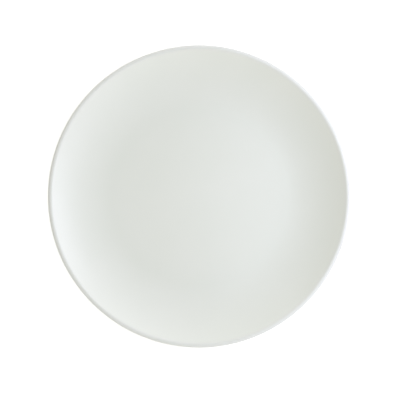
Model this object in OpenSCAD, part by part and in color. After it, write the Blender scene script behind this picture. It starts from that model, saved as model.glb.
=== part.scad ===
// Coupe dinner plate: a fired clay body on a foot ring, glazed on the face, the back and inside the foot.
// Every piece is one outline turned about the Z axis. Millimetres, Z up, origin on the table at the centre.

/* [Plate] */
// Diameter of the glazed plate at its widest
plate_d = 270; // [230:1:320]
// Height of the glazed lip above the table
plate_h = 25; // [20:0.5:36]
// Diameter of the flat floor that the food sits on
well_d = 160; // [120:1:200]
// Thickness of the floor between its glazed faces
floor_t = 5.5; // [4:0.25:9]

/* [Rim] */
// Thickness of the glazed wall where it ends in the round lip
rim_t = 5.5; // [3:0.25:8]

/* [Foot ring] */
// Diameter of the foot ring along the middle of its bearing face
foot_d = 148; // [110:1:190]
// Width of the flat bearing face
foot_w = 3; // [1.5:0.25:8]
// Depth of the glazed recess that the foot ring stands around
foot_h = 3; // [2.5:0.25:6]
// Lean of the foot ring's sides from upright, in degrees
foot_draft = 18; // [5:1:35]
// Radius along both edges of the bearing face
foot_edge_r = 0.6; // [0.3:0.1:1]
// Radius where the foot ring's bare clay sides run into the underside
foot_root_r = 1.6; // [0.8:0.1:2.4]

/* [Glaze] */
// Thickness of the glaze coats
glaze_t = 0.35; // [0.2:0.05:0.6]
// Height of the bare clay that the wiped foot ring shows above the table
bare_h = 1.3; // [0.6:0.1:1.8]

/* [Hidden] */

clay_colour = "#d9d2c4";
face_colour = "#e0e3df";
back_colour = "#dde0dc";
recess_colour = "#d9dcd7";

// Straight steps that each round stretch of an outline is drawn in
sweep_steps = 28;
lip_steps = 8;
foot_steps = 6;
bead_steps = 4;
// Facets of the turned pieces in a preview
$fn = 256;

// The lip is a half round: the clay's radius, and the centre it shares with the glaze
lip_r = rim_t / 2 - glaze_t;
lip_c = [plate_d / 2 - rim_t / 2, plate_h - rim_t / 2];

// The glazed face: a flat floor, then one arc that leaves the floor level and runs into the lip
floor_z = foot_h + floor_t;
face_run = [lip_c.x - well_d / 2, lip_c.y - floor_z];
face_r = (face_run * face_run - pow(rim_t / 2, 2)) / (2 * (face_run.y + rim_t / 2));
face_c = [well_d / 2, floor_z + face_r];
face_rise = asin(face_run.x / (face_r + rim_t / 2));

// The glazed back: one arc that starts level over the middle of the foot ring and runs into the lip
back_run = [lip_c.x - foot_d / 2, lip_c.y - foot_h];
back_r = (back_run * back_run - pow(rim_t / 2, 2)) / (2 * (back_run.y - rim_t / 2));
back_c = [foot_d / 2, foot_h + back_r];
back_rise = asin(back_run.x / (back_r - rim_t / 2));

// The foot ring's sides lean away from its bearing face. Outside is 1, inside is -1.
function foot_edge_c(side) = [foot_d / 2 + side * foot_w / 2, foot_edge_r];
function foot_normal(side) = [side * cos(foot_draft), -sin(foot_draft)];
function foot_climb(side) = [side * sin(foot_draft), cos(foot_draft)];

// A point on a side of the foot ring: coat is its height over the clay, up the distance along the side
function foot_side(side, coat, up) =
    foot_edge_c(side) + (foot_edge_r + coat) * foot_normal(side) + up * foot_climb(side);

// Outer root: the round tangent to the outer side and to the clay's back arc
root_start = foot_side(1, foot_root_r, 0) - back_c;
root_reach = back_r - glaze_t + foot_root_r;
root_along = root_start * foot_climb(1);
root_up = -root_along - sqrt(pow(root_along, 2) - root_start * root_start + pow(root_reach, 2));
outer_root_c = foot_side(1, foot_root_r, root_up);
outer_root_turn = atan2(back_c.y - outer_root_c.y, back_c.x - outer_root_c.x);

// Inner root: the round tangent to the inner side and to the clay's flat ceiling over the recess
ceiling_z = foot_h + glaze_t;
inner_root_up = (ceiling_z - foot_root_r - foot_side(-1, foot_root_r, 0).y) / cos(foot_draft);
inner_root_c = foot_side(-1, foot_root_r, inner_root_up);

// Where the wiped glaze ends, along a side of the foot ring
bare_up = (bare_h - foot_side(1, 0, 0).y) / cos(foot_draft);

// An arc without its first point, which the stretch before it ends on
function arc(centre, radius, from, to, steps) =
    [for (i = [1 : steps])
        let (turn = from + (to - from) * i / steps)
        centre + radius * [cos(turn), sin(turn)]];

function reversed(points) = [for (i = [len(points) - 1 : -1 : 0]) points[i]];

// The widest point of the lip, where the face coat and the back coat meet
function lip_point(coat) = lip_c + [lip_r + coat, 0];

// Axis, floor, wall and lip, out to the widest point
function face_line(coat) = concat(
    [[0, floor_z - glaze_t + coat], [well_d / 2, floor_z - glaze_t + coat]],
    arc(face_c, face_r + glaze_t - coat, -90, face_rise - 90, sweep_steps),
    arc(lip_c, lip_r + coat, face_rise + 90, 90, lip_steps),
    arc(lip_c, lip_r + coat, 90, 0, lip_steps));

// From the widest point round the lip and down the back to the top of the foot ring's outer side
function back_line(coat) = concat(
    arc(lip_c, lip_r + coat, 0, back_rise - 90, lip_steps),
    arc(back_c, back_r - glaze_t + coat, back_rise - 90, outer_root_turn - 180, sweep_steps),
    arc(outer_root_c, foot_root_r - coat, outer_root_turn, 180 - foot_draft, foot_steps));

// From the axis along the recess's ceiling to the top of the foot ring's inner side
function recess_line(coat) = concat(
    [[0, ceiling_z - coat], [inner_root_c.x, ceiling_z - coat]],
    arc(inner_root_c, foot_root_r - coat, 90, foot_draft, foot_steps));

// The bare foot: its outer edge, bearing face and inner edge
function foot_line() = concat(
    [foot_side(1, 0, 0)],
    arc(foot_edge_c(1), foot_edge_r, -foot_draft, -90, foot_steps),
    [[foot_edge_c(-1).x, 0]],
    arc(foot_edge_c(-1), foot_edge_r, -90, foot_draft - 180, foot_steps));

// A coat's rounded end on a side of the foot ring, from its outer surface in to the clay
function bead_line(side, from, to) = concat(
    [foot_side(side, glaze_t, bare_up + glaze_t)],
    arc(foot_side(side, 0, bare_up + glaze_t), glaze_t, from, to, bead_steps));

module turned(outline) {
    rotate_extrude() polygon(outline);
}

module clay_body() {
    color(clay_colour)
        turned(concat(face_line(0), back_line(0), foot_line(), reversed(recess_line(0))));
}

module face_glaze() {
    color(face_colour)
        turned(concat(face_line(glaze_t), reversed(face_line(0))));
}

module back_glaze() {
    color(back_colour)
        turned(concat(
            [lip_point(glaze_t)],
            back_line(glaze_t),
            bead_line(1, -foot_draft, -foot_draft - 90),
            reversed(back_line(0)),
            [lip_point(0)]));
}

module recess_glaze() {
    color(recess_colour)
        turned(concat(
            recess_line(glaze_t),
            bead_line(-1, foot_draft + 180, foot_draft + 270),
            reversed(recess_line(0))));
}

clay_body();
face_glaze();
back_glaze();
recess_glaze();
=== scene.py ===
"""Coupe dinner plate, seen from straight above: a fired clay body under three coats of satin glaze."""

import math

import bpy
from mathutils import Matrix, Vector


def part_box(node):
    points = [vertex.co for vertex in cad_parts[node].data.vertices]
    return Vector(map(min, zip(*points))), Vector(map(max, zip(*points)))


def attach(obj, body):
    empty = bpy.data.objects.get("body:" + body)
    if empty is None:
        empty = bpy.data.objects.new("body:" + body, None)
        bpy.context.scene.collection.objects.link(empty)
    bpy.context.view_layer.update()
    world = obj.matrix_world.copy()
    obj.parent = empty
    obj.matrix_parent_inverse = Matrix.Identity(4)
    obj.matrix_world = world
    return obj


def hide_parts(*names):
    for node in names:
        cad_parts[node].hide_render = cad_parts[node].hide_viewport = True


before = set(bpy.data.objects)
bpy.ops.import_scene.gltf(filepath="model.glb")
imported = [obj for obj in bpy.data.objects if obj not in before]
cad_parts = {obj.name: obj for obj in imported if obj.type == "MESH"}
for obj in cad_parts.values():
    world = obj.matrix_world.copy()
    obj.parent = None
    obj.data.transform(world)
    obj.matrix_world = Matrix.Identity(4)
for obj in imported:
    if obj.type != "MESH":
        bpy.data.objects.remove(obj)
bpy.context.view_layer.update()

# Where the plate lies in the photograph, in pixels of its square frame
FRAME_PX = 400
PLATE_CENTRE_PX = Vector((199.15, 196.43))
PLATE_RADIUS_PX = 151.3

# Steps of a full turn, and of each stretch of an outline
TURN_STEPS = 240
LEVEL_STEPS = 10
SWEEP_STEPS = 40
CREST_STEPS = 6
LIP_STEPS = 14
ROOT_STEPS = 10
EDGE_STEPS = 6
BEAD_STEPS = 6
QUARTER = math.pi / 2

# The lip's short last step on either side of the seam between the face coat and the back coat
SEAM_TURN = math.radians(0.4)

# Points closer than this are merged, and edges sharper than this are shaded as edges
MERGE_M = 2e-6
SMOOTH_ANGLE = math.radians(35)

# The foot ring as the solids have it: the lean of its sides, and the radii of its edges and its roots
FOOT_DRAFT = math.radians(18)
FOOT_EDGE = 0.0006
FOOT_ROOT = 0.0016

# How close a corner of a solid lies to a flat face that it belongs to
FLAT_M = 5e-6


def radii_at(solid, height):
    """The least and greatest radius of a solid's corners on its flat face at this height."""
    corners = [v.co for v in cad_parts[solid].data.vertices]
    radii = [math.hypot(c.x, c.y) for c in corners if abs(c.z - height) < FLAT_M]
    return min(radii), max(radii)


# Driving sizes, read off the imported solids
face_low, face_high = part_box("face_glaze")
back_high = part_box("back_glaze")[1]
recess_low, recess_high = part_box("recess_glaze")
clay_low, clay_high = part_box("clay_body")
plate_radius = face_high.x
plate_height = face_high.z
glaze = plate_height - clay_high.z
rim_half = plate_height - back_high.z
lip_centre = Vector((plate_radius - rim_half, back_high.z))
floor_height = face_low.z + glaze
well_radius = radii_at("face_glaze", face_low.z)[1]
ceiling_height = recess_high.z - glaze
foot_inner, foot_outer = radii_at("clay_body", clay_low.z)
foot_middle = (foot_inner + foot_outer) / 2
bare_height = recess_low.z

# The face is an arc that leaves the floor level and runs into the lip
face_run = lip_centre - Vector((well_radius, floor_height))
face_radius = (face_run.length_squared - rim_half**2) / (2 * (face_run.y + rim_half))
face_centre = Vector((well_radius, floor_height + face_radius))
face_rise = math.asin(face_run.x / (face_radius + rim_half))

# The back is an arc that starts level over the foot ring and runs into the lip
back_run = lip_centre - Vector((foot_middle, ceiling_height))
back_radius = (back_run.length_squared - rim_half**2) / (2 * (back_run.y - rim_half))
back_centre = Vector((foot_middle, ceiling_height + back_radius))
back_rise = math.asin(back_run.x / (back_radius - rim_half))


def foot_edge_centre(side):
    """Centre of the round on an edge of the bearing face: side is 1 outside and -1 inside."""
    return Vector((foot_outer if side > 0 else foot_inner, FOOT_EDGE))


def foot_side(side, coat, up):
    """A point on a side of the foot ring, coat over the clay and up along the side."""
    normal = Vector((side * math.cos(FOOT_DRAFT), -math.sin(FOOT_DRAFT)))
    climb = Vector((side * math.sin(FOOT_DRAFT), math.cos(FOOT_DRAFT)))
    return foot_edge_centre(side) + (FOOT_EDGE + coat) * normal + up * climb


def outer_root():
    """Centre of the round where the foot ring's outer side runs into the back."""
    start = foot_side(1, FOOT_ROOT, 0) - back_centre
    climb = foot_side(1, 0, 1) - foot_side(1, 0, 0)
    reach = back_radius - glaze + FOOT_ROOT
    along = start.dot(climb)
    up = -along - math.sqrt(along**2 - start.length_squared + reach**2)
    return foot_side(1, FOOT_ROOT, up)


def inner_root():
    """Centre of the round where the foot ring's inner side runs into the ceiling of the recess."""
    start = foot_side(-1, FOOT_ROOT, 0)
    up = (ceiling_height + glaze - FOOT_ROOT - start.y) / math.cos(FOOT_DRAFT)
    return foot_side(-1, FOOT_ROOT, up)


def arc(centre, radius, start, end, steps):
    """Points of an arc without its first, which the stretch before it ends on."""
    turns = [start + (end - start) * i / steps for i in range(1, steps + 1)]
    return [centre + radius * Vector((math.cos(t), math.sin(t))) for t in turns]


def level(height, start, end, steps):
    """Points along a level stretch, both ends included."""
    return [Vector((start + (end - start) * i / steps, height)) for i in range(steps + 1)]


def lip_point(coat):
    """The widest point of the lip, where the face coat and the back coat meet."""
    return lip_centre + Vector((rim_half - glaze + coat, 0))


def face_line(coat):
    """Axis, floor, wall and lip, out to the widest point."""
    lip = rim_half - glaze + coat
    return [
        *level(floor_height - glaze + coat, 0, well_radius, LEVEL_STEPS),
        *arc(face_centre, face_radius + glaze - coat, -QUARTER, face_rise - QUARTER, SWEEP_STEPS),
        *arc(lip_centre, lip, face_rise + QUARTER, QUARTER, CREST_STEPS),
        *arc(lip_centre, lip, QUARTER, SEAM_TURN, LIP_STEPS),
        lip_point(coat),
    ]


def back_line(coat):
    """From the widest point round the lip and down the back to the foot ring's outer side."""
    lip = rim_half - glaze + coat
    back = back_radius - glaze + coat
    root = outer_root()
    to_back = back_centre - root
    root_turn = math.atan2(to_back.y, to_back.x)
    return [
        lip_point(coat),
        *arc(lip_centre, lip, 0, -SEAM_TURN, 1),
        *arc(lip_centre, lip, -SEAM_TURN, back_rise - QUARTER, LIP_STEPS),
        *arc(back_centre, back, back_rise - QUARTER, root_turn - math.pi, SWEEP_STEPS),
        *arc(root, FOOT_ROOT - coat, root_turn, math.pi - FOOT_DRAFT, ROOT_STEPS),
    ]


def recess_line(coat):
    """From the axis along the ceiling of the recess to the foot ring's inner side."""
    root = inner_root()
    return [
        *level(ceiling_height + glaze - coat, 0, root.x, LEVEL_STEPS),
        *arc(root, FOOT_ROOT - coat, QUARTER, FOOT_DRAFT, ROOT_STEPS),
    ]


def foot_line():
    """The bare foot: outer edge, bearing face and inner edge."""
    return [
        foot_side(1, 0, 0),
        *arc(foot_edge_centre(1), FOOT_EDGE, -FOOT_DRAFT, -QUARTER, EDGE_STEPS),
        Vector((foot_inner, 0)),
        *arc(foot_edge_centre(-1), FOOT_EDGE, -QUARTER, FOOT_DRAFT - math.pi, EDGE_STEPS),
    ]


def bead_line(side):
    """The rounded end of a coat on a side of the foot ring, from its outer surface in to the clay."""
    up = (bare_height - foot_side(side, 0, 0).y) / math.cos(FOOT_DRAFT) + glaze
    start = -FOOT_DRAFT if side > 0 else FOOT_DRAFT + math.pi
    end = start - side * QUARTER
    return [
        foot_side(side, glaze, up),
        *arc(foot_side(side, 0, up), glaze, start, end, BEAD_STEPS),
    ]


def select_ends(piece):
    """Selects the two loose ends of the outline that is being drawn."""
    bpy.ops.object.mode_set(mode="OBJECT")
    uses = [0] * len(piece.data.vertices)
    for edge in piece.data.edges:
        for corner in edge.vertices:
            uses[corner] += 1
    for vertex in piece.data.vertices:
        vertex.select = uses[vertex.index] == 1
    for edge in piece.data.edges:
        edge.select = False
    bpy.ops.object.mode_set(mode="EDIT")


def turn_piece(name, outline, meets_axis):
    """Draws an outline point by point beside the plate's axis and spins it into a closed skin."""
    bpy.ops.object.select_all(action="DESELECT")
    first = outline[0]
    bpy.ops.mesh.primitive_plane_add(size=glaze, location=(first.x, 0, first.y))
    piece = bpy.context.object
    piece.name = piece.data.name = name
    bpy.ops.object.transform_apply(location=True)
    bpy.ops.object.mode_set(mode="EDIT")
    bpy.ops.mesh.select_mode(type="VERT")
    bpy.ops.mesh.select_all(action="SELECT")
    bpy.ops.mesh.merge(type="COLLAPSE")
    for here, there in zip(outline, outline[1:]):
        step = there - here
        bpy.ops.mesh.extrude_region_move(TRANSFORM_OT_translate={"value": (step.x, 0, step.y)})
    if not meets_axis:
        select_ends(piece)
        bpy.ops.mesh.edge_face_add()
    bpy.ops.mesh.select_all(action="SELECT")
    bpy.ops.mesh.spin(steps=TURN_STEPS, angle=math.tau, center=(0, 0, 0), axis=(0, 0, 1))
    bpy.ops.mesh.select_all(action="SELECT")
    bpy.ops.mesh.remove_doubles(threshold=MERGE_M)
    bpy.ops.mesh.normals_make_consistent(inside=False)
    bpy.ops.object.mode_set(mode="OBJECT")
    bpy.ops.object.shade_smooth_by_angle(angle=SMOOTH_ANGLE)
    return piece


# Places of the colour sockets among all the inputs and outputs of a Mix node
MIX_FIRST = 6
MIX_SECOND = 7
MIX_RESULT = 2

# Kinds of socket of a shader group
NUMBER = "NodeSocketFloat"
COLOUR = "NodeSocketColor"


def feed(socket, value):
    """Links a socket to another node's output, or sets it to a plain value."""
    if isinstance(value, bpy.types.NodeSocket):
        socket.id_data.links.new(value, socket)
    else:
        socket.default_value = value


def add_node(tree, kind, settings=None, **inputs):
    """Adds a node with its settings, and feeds its inputs by name, spaces written as underscores."""
    node = tree.nodes.new(kind)
    for name, value in (settings or {}).items():
        setattr(node, name, value)
    for name, value in inputs.items():
        feed(node.inputs[name.replace("_", " ")], value)
    return node


def reckon(tree, operation, *values):
    """A Math node on the given values; gives its output."""
    node = add_node(tree, "ShaderNodeMath", {"operation": operation})
    for socket, value in zip(node.inputs, values):
        feed(socket, value)
    return node.outputs[0]


def mix_colour(tree, amount, first, second):
    """Mixes two colours; gives the mixed colour."""
    node = add_node(tree, "ShaderNodeMix", {"data_type": "RGBA"})
    feed(node.inputs["Factor"], amount)
    feed(node.inputs[MIX_FIRST], first)
    feed(node.inputs[MIX_SECOND], second)
    return node.outputs[MIX_RESULT]


def fade_out(tree, value, end):
    """1 where the value is 0, fading softly to 0 where it reaches the end."""
    node = add_node(
        tree,
        "ShaderNodeMapRange",
        {"interpolation_type": "SMOOTHSTEP"},
        Value=value,
        From_Min=0.0,
        From_Max=end,
        To_Min=1.0,
        To_Max=0.0,
    )
    return node.outputs["Result"]


def rgba(colour):
    """A colour as a socket takes it, with full alpha."""
    return (*colour, 1.0)


def new_group(name, inputs, outputs):
    """An empty shader group with named inputs and outputs; gives the group and its two end nodes."""
    group = bpy.data.node_groups.new(name, "ShaderNodeTree")
    for socket, kind in inputs.items():
        group.interface.new_socket(socket, in_out="INPUT", socket_type=kind)
    for socket, kind in outputs.items():
        group.interface.new_socket(socket, in_out="OUTPUT", socket_type=kind)
    return group, group.nodes.new("NodeGroupInput"), group.nodes.new("NodeGroupOutput")


def place_group(tree, group, **inputs):
    """Places a shader group in a material with its own values."""
    return add_node(tree, "ShaderNodeGroup", {"node_tree": group}, **inputs)


def axis_distance(tree):
    """Distance of a surface point from the plate's axis."""
    place = add_node(tree, "ShaderNodeTexCoord").outputs["Object"]
    flat = add_node(tree, "ShaderNodeVectorMath", {"operation": "MULTIPLY"})
    feed(flat.inputs[0], place)
    feed(flat.inputs[1], (1, 1, 0))
    length = add_node(tree, "ShaderNodeVectorMath", {"operation": "LENGTH"})
    feed(length.inputs[0], flat.outputs[0])
    return length.outputs["Value"]


def noise(tree, size, detail=0.0):
    """Noise whose patches are about this large, in metres; gives its value."""
    place = add_node(tree, "ShaderNodeTexCoord").outputs["Object"]
    scale = reckon(tree, "DIVIDE", 1.0, size)
    return add_node(tree, "ShaderNodeTexNoise", Vector=place, Scale=scale, Detail=detail).outputs["Fac"]


# Layers of finer noise in the clouds, the dull patches and the grains
PATCH_DETAIL = 2.0

# The stretch of the clouds' noise over which one tone turns into the other
CLOUD_LOW = 0.3
CLOUD_HIGH = 0.7

# Size and height of the finer ripple as a share of the main one, and size of the dull patches in ripples
FINE_SHARE = 0.3
DULL_PATCH_TIMES = 6.0

# Size of the patches in which the turning rings stray, in spacings of the rings
RING_STRAY_TIMES = 20.0


def make_soft_ring():
    """A mask that is 1 at radius Middle round the axis, and fades to 0 at Reach to either side."""
    group, start, end = new_group("soft ring", {"Middle": NUMBER, "Reach": NUMBER}, {"Mask": NUMBER})
    away = reckon(group, "SUBTRACT", axis_distance(group), start.outputs["Middle"])
    mask = fade_out(group, reckon(group, "ABSOLUTE", away), start.outputs["Reach"])
    feed(end.inputs["Mask"], mask)
    return group


def make_clouded_colour():
    """A colour that drifts between two close tones, in soft patches."""
    group, start, end = new_group(
        "clouded colour",
        {"Colour": COLOUR, "Deep Colour": COLOUR, "Patch Size": NUMBER},
        {"Colour": COLOUR},
    )
    drift = add_node(
        group,
        "ShaderNodeMapRange",
        {"interpolation_type": "SMOOTHSTEP"},
        Value=noise(group, start.outputs["Patch Size"], PATCH_DETAIL),
        From_Min=CLOUD_LOW,
        From_Max=CLOUD_HIGH,
    )
    mixed = mix_colour(
        group,
        drift.outputs["Result"],
        start.outputs["Colour"],
        start.outputs["Deep Colour"],
    )
    feed(end.inputs["Colour"], mixed)
    return group


def make_satin_skin():
    """The melted skin of the glaze: a slight ripple, and a roughness that wanders between two values."""
    group, start, end = new_group(
        "satin skin",
        {"Ripple Size": NUMBER, "Smooth": NUMBER, "Dull": NUMBER},
        {"Height": NUMBER, "Roughness": NUMBER},
    )
    size = start.outputs["Ripple Size"]
    fine_noise = noise(group, reckon(group, "MULTIPLY", size, FINE_SHARE))
    fine = reckon(group, "MULTIPLY", fine_noise, FINE_SHARE)
    feed(end.inputs["Height"], reckon(group, "ADD", noise(group, size), fine))
    patches = noise(group, reckon(group, "MULTIPLY", size, DULL_PATCH_TIMES), PATCH_DETAIL)
    spread = reckon(group, "SUBTRACT", start.outputs["Dull"], start.outputs["Smooth"])
    wander = reckon(group, "MULTIPLY_ADD", patches, spread, start.outputs["Smooth"])
    feed(end.inputs["Roughness"], wander)
    return group


def make_turning_rings():
    """Faint rings round the axis that the shaping tool leaves in the clay."""
    group, start, end = new_group("turning rings", {"Spacing": NUMBER}, {"Height": NUMBER})
    spacing = start.outputs["Spacing"]
    stray = noise(group, reckon(group, "MULTIPLY", spacing, RING_STRAY_TIMES))
    strayed = reckon(group, "MULTIPLY_ADD", stray, spacing, axis_distance(group))
    turns = reckon(group, "DIVIDE", strayed, spacing)
    feed(end.inputs["Height"], reckon(group, "SINE", reckon(group, "MULTIPLY", turns, math.tau)))
    return group


soft_ring = make_soft_ring()
clouded_colour = make_clouded_colour()
satin_skin = make_satin_skin()
turning_rings = make_turning_rings()


def new_material(name):
    """A node material with one Principled shader on its output."""
    material = bpy.data.materials.new(name)
    material.use_nodes = True
    tree = material.node_tree
    tree.nodes.clear()
    output = tree.nodes.new("ShaderNodeOutputMaterial")
    shader = tree.nodes.new("ShaderNodeBsdfPrincipled")
    feed(output.inputs["Surface"], shader.outputs["BSDF"])
    return material, tree, shader


def bump(tree, height, distance, normal=None):
    """A Bump node on a height that stands this far out, on top of another bump if one is given."""
    node = add_node(tree, "ShaderNodeBump", Strength=1.0, Distance=distance, Height=height)
    if normal:
        feed(node.inputs["Normal"], normal)
    return node.outputs["Normal"]


# Tones of the white glaze: its own, where it lies deep, where it thins over the lip, and where it pools
GLAZE_WHITE = (0.800, 0.820, 0.790)
GLAZE_DEEP = (0.790, 0.813, 0.780)
GLAZE_THIN = (0.782, 0.795, 0.792)
GLAZE_POOL = (0.776, 0.806, 0.770)
CLOUD_SIZE = 0.045

# The glaze's skin: width and height of its ripple, and its roughness from the smoothest to the dullest
RIPPLE_SIZE = 0.005
RIPPLE_HEIGHT = 4e-6
SATIN_SMOOTH = 0.31
SATIN_DULL = 0.43

# Rings where the coat thins or pools: how far they reach to either side, and how deep the pools are
LIP_REACH = 0.005
WELL_REACH = 0.014
ROOT_REACH = 0.006
WELL_POOL = 0.25
ROOT_POOL = 0.6

# Turning rings: their spacing under the coats of the underside, and their height there and in the clay
RING_SPACING = 0.0042
RING_HEIGHT = 6e-6


def glaze_material(name, pool_radius, pool_reach, pool_share, thin_at_lip, ringed):
    """White satin glaze that pools along one ring, may thin over the lip and may show turning rings."""
    material, tree, shader = new_material(name)
    cloud = place_group(
        tree,
        clouded_colour,
        Colour=rgba(GLAZE_WHITE),
        Deep_Colour=rgba(GLAZE_DEEP),
        Patch_Size=CLOUD_SIZE,
    )
    colour = cloud.outputs["Colour"]
    pool = place_group(tree, soft_ring, Middle=pool_radius, Reach=pool_reach)
    pooled = reckon(tree, "MULTIPLY", pool.outputs["Mask"], pool_share)
    colour = mix_colour(tree, pooled, colour, rgba(GLAZE_POOL))
    if thin_at_lip:
        lip = place_group(tree, soft_ring, Middle=lip_centre.x + rim_half / 2, Reach=LIP_REACH)
        colour = mix_colour(tree, lip.outputs["Mask"], colour, rgba(GLAZE_THIN))
    feed(shader.inputs["Base Color"], colour)
    skin = place_group(tree, satin_skin, Ripple_Size=RIPPLE_SIZE, Smooth=SATIN_SMOOTH, Dull=SATIN_DULL)
    feed(shader.inputs["Roughness"], skin.outputs["Roughness"])
    normal = bump(tree, skin.outputs["Height"], RIPPLE_HEIGHT)
    if ringed:
        rings = place_group(tree, turning_rings, Spacing=RING_SPACING)
        normal = bump(tree, rings.outputs["Height"], RING_HEIGHT, normal)
    feed(shader.inputs["Normal"], normal)
    return material


# The bare clay's tones: its own two, its dark grains, and the greyed face that it stands on
CLAY_PALE = (0.700, 0.650, 0.560)
CLAY_DARK = (0.640, 0.585, 0.495)
CLAY_GRAIN = (0.430, 0.370, 0.300)
CLAY_WORN = (0.570, 0.540, 0.490)
CLAY_PATCH = 0.006

# The clay's grains, its turning rings, its roughness, and how high up the foot ring it is rubbed
GRAIN_SIZE = 0.0008
GRAIN_RARITY = 0.68
GRAIN_SOFTNESS = 0.06
GRAIN_HEIGHT = 2.5e-5
CLAY_RING_SPACING = 0.0006
CLAY_ROUGH = 0.86
CLAY_RUBBED = 0.7
WORN_HEIGHT = 0.0003


def clay_material(name):
    """Bare fired clay: matt, grainy, with turning rings, rubbed grey where the foot ring stands."""
    material, tree, shader = new_material(name)
    cloud = place_group(
        tree,
        clouded_colour,
        Colour=rgba(CLAY_PALE),
        Deep_Colour=rgba(CLAY_DARK),
        Patch_Size=CLAY_PATCH,
    )
    grain = noise(tree, GRAIN_SIZE, PATCH_DETAIL)
    specks = add_node(
        tree,
        "ShaderNodeMapRange",
        Value=grain,
        From_Min=GRAIN_RARITY,
        From_Max=GRAIN_RARITY + GRAIN_SOFTNESS,
    )
    colour = mix_colour(tree, specks.outputs["Result"], cloud.outputs["Colour"], rgba(CLAY_GRAIN))
    place = add_node(tree, "ShaderNodeTexCoord").outputs["Object"]
    height = add_node(tree, "ShaderNodeSeparateXYZ", Vector=place).outputs["Z"]
    worn = fade_out(tree, height, WORN_HEIGHT)
    feed(shader.inputs["Base Color"], mix_colour(tree, worn, colour, rgba(CLAY_WORN)))
    rubbed = reckon(tree, "MULTIPLY_ADD", worn, CLAY_RUBBED - CLAY_ROUGH, CLAY_ROUGH)
    feed(shader.inputs["Roughness"], rubbed)
    rings = place_group(tree, turning_rings, Spacing=CLAY_RING_SPACING)
    normal = bump(tree, rings.outputs["Height"], RING_HEIGHT)
    feed(shader.inputs["Normal"], bump(tree, grain, GRAIN_HEIGHT, normal))
    return material


def dress(piece, replaced, material):
    """Gives a turned piece its material and its place in the model."""
    piece.data.materials.append(material)
    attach(piece, "root")
    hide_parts(replaced)


def make_face_coat():
    """The coat on the eating face: floor, wall and the upper half of the lip."""
    outline = face_line(glaze) + face_line(0)[::-1]
    piece = turn_piece("face_glaze_coat", outline, meets_axis=True)
    satin = glaze_material(
        "face satin glaze",
        pool_radius=well_radius,
        pool_reach=WELL_REACH,
        pool_share=WELL_POOL,
        thin_at_lip=True,
        ringed=False,
    )
    dress(piece, "face_glaze", satin)


def make_back_coat():
    """The coat on the underside: the lower half of the lip, the back and the foot ring's outer side."""
    outline = back_line(glaze) + bead_line(1) + back_line(0)[::-1]
    piece = turn_piece("back_glaze_coat", outline, meets_axis=False)
    satin = glaze_material(
        "back satin glaze",
        pool_radius=outer_root().x,
        pool_reach=ROOT_REACH,
        pool_share=ROOT_POOL,
        thin_at_lip=True,
        ringed=True,
    )
    dress(piece, "back_glaze", satin)


def make_recess_coat():
    """The coat inside the foot ring: the ceiling of the recess and the foot ring's inner side."""
    outline = recess_line(glaze) + bead_line(-1) + recess_line(0)[::-1]
    piece = turn_piece("recess_glaze_coat", outline, meets_axis=True)
    satin = glaze_material(
        "recess satin glaze",
        pool_radius=inner_root().x,
        pool_reach=ROOT_REACH,
        pool_share=ROOT_POOL,
        thin_at_lip=False,
        ringed=True,
    )
    dress(piece, "recess_glaze", satin)


def make_clay_body():
    """The fired clay: one turned body, bare only on the foot ring."""
    outline = face_line(0) + back_line(0)[1:] + foot_line() + recess_line(0)[::-1]
    piece = turn_piece("fired_clay_body", outline, meets_axis=True)
    dress(piece, "clay_body", clay_material("bare fired clay"))


make_face_coat()
make_back_coat()
make_recess_coat()
make_clay_body()

# Plain white, which the studio's floor and room show where they are seen
PLAIN_WHITE = (1, 1, 1)


def seen_directly(tree):
    """1 for rays from the camera, a reflection or a clear body, and 0 for all others."""
    path = add_node(tree, "ShaderNodeLightPath")
    seen = reckon(tree, "MAXIMUM", path.outputs["Is Camera Ray"], path.outputs["Is Glossy Ray"])
    return reckon(tree, "MAXIMUM", seen, path.outputs["Is Transmission Ray"])


# The studio's floor: wider than any view takes in, pale and matt, and lifted to white where it is seen
STUDIO_FLOOR_SIZE = 12.0
STUDIO_FLOOR_PALE = (0.8, 0.8, 0.8)
STUDIO_FLOOR_ROUGH = 1.0
STUDIO_FLOOR_GLOSS = 0.0
STUDIO_FLOOR_LIFT = 0.58


def lay_studio_floor():
    """A plain white floor that keeps the plate's shadow."""
    bpy.ops.object.select_all(action="DESELECT")
    bpy.ops.mesh.primitive_plane_add(size=STUDIO_FLOOR_SIZE, location=(0, 0, 0))
    floor = bpy.context.object
    floor.name = floor.data.name = "floor"
    material, tree, shader = new_material("white floor")
    lift = reckon(tree, "MULTIPLY", seen_directly(tree), STUDIO_FLOOR_LIFT)
    feed(shader.inputs["Base Color"], rgba(STUDIO_FLOOR_PALE))
    feed(shader.inputs["Roughness"], STUDIO_FLOOR_ROUGH)
    feed(shader.inputs["Specular IOR Level"], STUDIO_FLOOR_GLOSS)
    feed(shader.inputs["Emission Color"], rgba(PLAIN_WHITE))
    feed(shader.inputs["Emission Strength"], lift)
    floor.data.materials.append(material)


# The room's light: bright walls before and behind the plate, a darker ceiling and dim warm sides
WALL_TONE = (1.0, 0.978, 0.912)
CEILING_TONE = (0.078, 0.1, 0.1)
SIDE_TONE = (0.087, 0.054, 0.02)
ROOM_STRENGTH = 2.55


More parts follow.
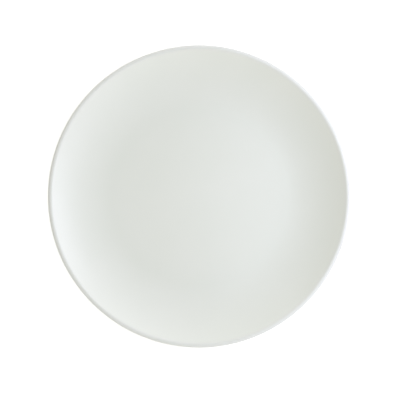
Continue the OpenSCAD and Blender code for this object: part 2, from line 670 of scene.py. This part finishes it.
def light_room():
    """A room that fades from its walls to its ceiling and sides, and is plain white where it is seen."""
    world = bpy.data.worlds.new("studio room")
    bpy.context.scene.world = world
    world.use_nodes = True
    tree = world.node_tree
    tree.nodes.clear()
    direction = add_node(tree, "ShaderNodeTexCoord").outputs["Generated"]
    split = add_node(tree, "ShaderNodeSeparateXYZ", Vector=direction)
    upwards = mix_colour(tree, split.outputs["Z"], rgba(WALL_TONE), rgba(CEILING_TONE))
    sideways = reckon(tree, "MULTIPLY", split.outputs["X"], split.outputs["X"])
    tone = mix_colour(tree, sideways, upwards, rgba(SIDE_TONE))
    room = add_node(tree, "ShaderNodeBackground", Color=tone, Strength=ROOM_STRENGTH)
    seen = add_node(tree, "ShaderNodeBackground", Color=rgba(PLAIN_WHITE), Strength=1.0)
    choice = add_node(tree, "ShaderNodeMixShader", Fac=seen_directly(tree))
    feed(choice.inputs[1], room.outputs["Background"])
    feed(choice.inputs[2], seen.outputs["Background"])
    output = add_node(tree, "ShaderNodeOutputWorld")
    feed(output.inputs["Surface"], choice.outputs["Shader"])


# The softbox on the right: its turn from +X towards +Y, its rise, its distance, its width and its power
SOFTBOX_TURN = math.radians(9)
SOFTBOX_RISE = math.radians(28)
SOFTBOX_DISTANCE = 2.5
SOFTBOX_WIDTH = 2.0
SOFTBOX_WATTS = 35.0

# The weak downlight on the right: its place, the reach of its pool's soft edge, its size and its power
DOWNLIGHT_ASIDE = 0.3
DOWNLIGHT_HEIGHT = 1.0
DOWNLIGHT_FADE = 0.042
DOWNLIGHT_SIZE = 0.05
DOWNLIGHT_WATTS = 4.4

# The tint of both lamps
COOL_TINT = (0.8, 0.82, 1.0)


def hang_lamp(name, kind, watts):
    """A lamp with a cool light, hidden from the camera."""
    light = bpy.data.lights.new(name, kind)
    light.energy = watts
    light.color = COOL_TINT
    lamp = bpy.data.objects.new(name, light)
    lamp.visible_camera = False
    bpy.context.scene.collection.objects.link(lamp)
    return lamp


def hang_softbox():
    """A round softbox aimed at the middle of the plate."""
    lamp = hang_lamp("right_softbox", "AREA", SOFTBOX_WATTS)
    lamp.data.shape = "DISK"
    lamp.data.size = SOFTBOX_WIDTH
    lamp.location = (
        SOFTBOX_DISTANCE * math.cos(SOFTBOX_RISE) * math.cos(SOFTBOX_TURN),
        SOFTBOX_DISTANCE * math.cos(SOFTBOX_RISE) * math.sin(SOFTBOX_TURN),
        SOFTBOX_DISTANCE * math.sin(SOFTBOX_RISE),
    )
    lamp.rotation_mode = "QUATERNION"
    lamp.rotation_quaternion = lamp.location.to_track_quat("Z", "Y")


def hang_downlight():
    """A lamp that shines straight down, whose pool of light fades out over the plate's middle."""
    lamp = hang_lamp("right_downlight", "SPOT", DOWNLIGHT_WATTS)
    outer = math.atan2(DOWNLIGHT_ASIDE + DOWNLIGHT_FADE, DOWNLIGHT_HEIGHT)
    inner = math.atan2(DOWNLIGHT_ASIDE - DOWNLIGHT_FADE, DOWNLIGHT_HEIGHT)
    lamp.data.spot_size = 2 * outer
    lamp.data.spot_blend = (math.cos(inner) - math.cos(outer)) / (1 - math.cos(outer))
    lamp.data.shadow_soft_size = DOWNLIGHT_SIZE
    lamp.location = (DOWNLIGHT_ASIDE, 0, DOWNLIGHT_HEIGHT)


# The camera's long lens
LENS_MM = 100.0
SENSOR_MM = 36.0


def hang_camera():
    """A camera straight above the plate, framed as the photograph is."""
    metres_per_px = plate_radius / PLATE_RADIUS_PX
    camera = bpy.data.objects.new("camera", bpy.data.cameras.new("camera"))
    bpy.context.scene.collection.objects.link(camera)
    camera.data.lens = LENS_MM
    camera.data.sensor_width = SENSOR_MM
    offset = (Vector((FRAME_PX / 2, FRAME_PX / 2)) - PLATE_CENTRE_PX) * metres_per_px
    height = lip_centre.y + metres_per_px * FRAME_PX * LENS_MM / SENSOR_MM
    camera.location = (offset.x, -offset.y, height)
    bpy.context.scene.camera = camera


lay_studio_floor()
light_room()
hang_softbox()
hang_downlight()
hang_camera()
bpy.context.scene.view_settings.view_transform = "Standard"
